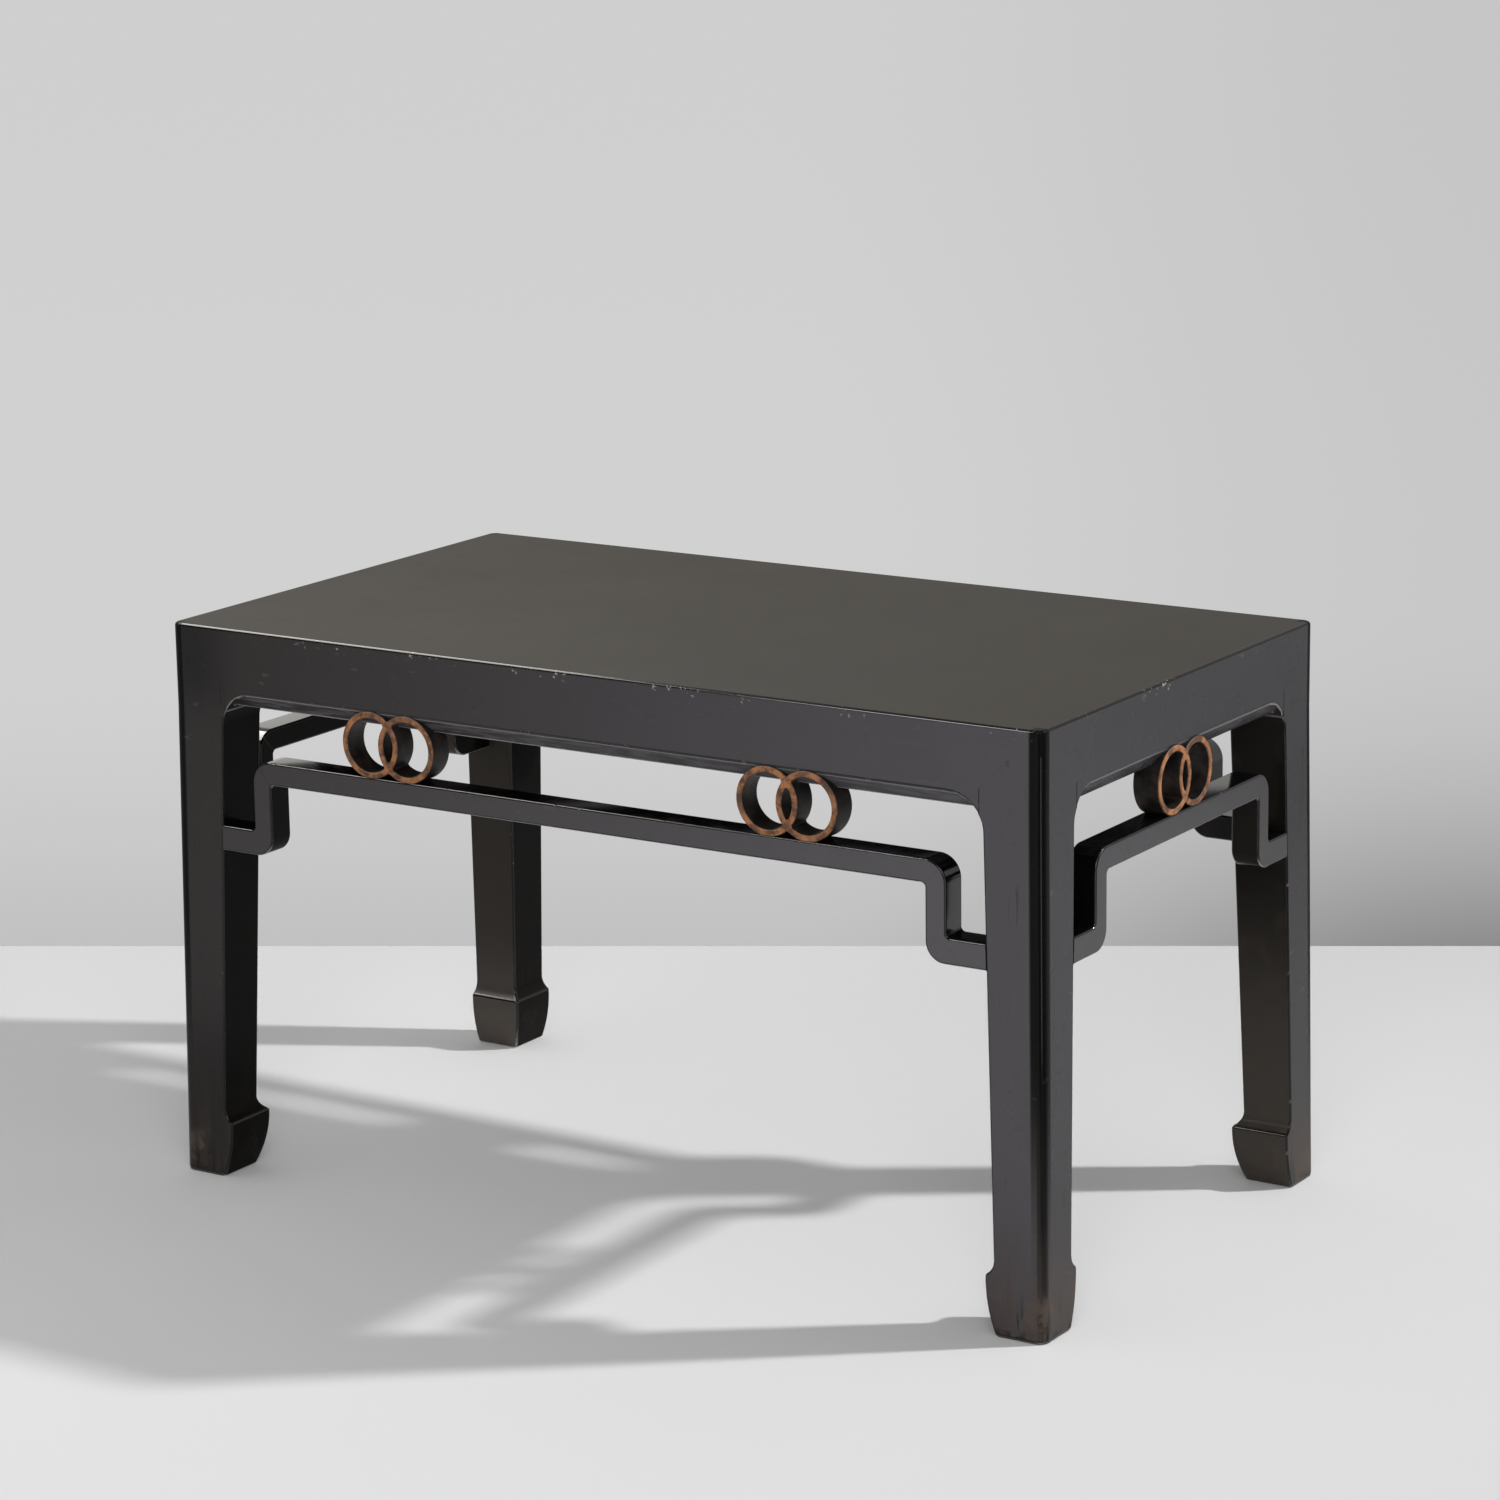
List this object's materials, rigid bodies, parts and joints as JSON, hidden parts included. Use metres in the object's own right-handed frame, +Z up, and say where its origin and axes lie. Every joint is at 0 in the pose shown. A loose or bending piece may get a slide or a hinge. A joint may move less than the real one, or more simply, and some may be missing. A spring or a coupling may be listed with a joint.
{
  "type": "kang table",
  "caption": "Low rectangular table in black lacquer with a flush top and aprons, splayed hoof-footed legs, humpback stretchers and interlocked ring struts.",
  "frame": {"origin": "on the floor under the middle of the top", "axes": "+X along the length of the top, the front faces -Y, +Z up"},
  "size_m": [0.912, 0.512, 0.52],
  "materials": {
    "black_lacquer": "aged glossy black lacquer over a ground, worn brown at arrises and feet",
    "underside_lacquer": "thin dull black-brown lacquer, as brushed on the underside",
    "ring_lacquer": "dark lacquer with worn red-brown gilding on the front faces",
    "bamboo": "split bamboo",
    "bare_wood": "unfinished hardwood"
  },
  "bodies": {
    "root": {"apron_back": "black_lacquer", "apron_front": "black_lacquer", "apron_left": "black_lacquer", "apron_right": "black_lacquer", "brace_left": "underside_lacquer", "brace_right": "underside_lacquer", "crank_back_left": "black_lacquer", "crank_back_right": "black_lacquer", "crank_front_left": "black_lacquer", "crank_front_right": "black_lacquer", "crank_left_back": "black_lacquer", "crank_left_front": "black_lacquer", "crank_right_back": "black_lacquer", "crank_right_front": "black_lacquer", "frame_end_left": "black_lacquer", "frame_end_right": "black_lacquer", "frame_rail_back": "black_lacquer", "frame_rail_front": "black_lacquer", "leg_back_left": "black_lacquer", "leg_back_right": "black_lacquer", "leg_front_left": "black_lacquer", "leg_front_right": "black_lacquer", "loose_tenons": "bare_wood", "ring_strut_back_left": "ring_lacquer", "ring_strut_back_right": "ring_lacquer", "ring_strut_front_left": "ring_lacquer", "ring_strut_front_right": "ring_lacquer", "ring_strut_left": "ring_lacquer", "ring_strut_right": "ring_lacquer", "stretcher_bar_back": "black_lacquer", "stretcher_bar_front": "black_lacquer", "stretcher_bar_left": "black_lacquer", "stretcher_bar_right": "black_lacquer", "strut_pins": "bamboo", "top_board_back": "black_lacquer", "top_board_front": "black_lacquer"}
  },
  "joints": []
}
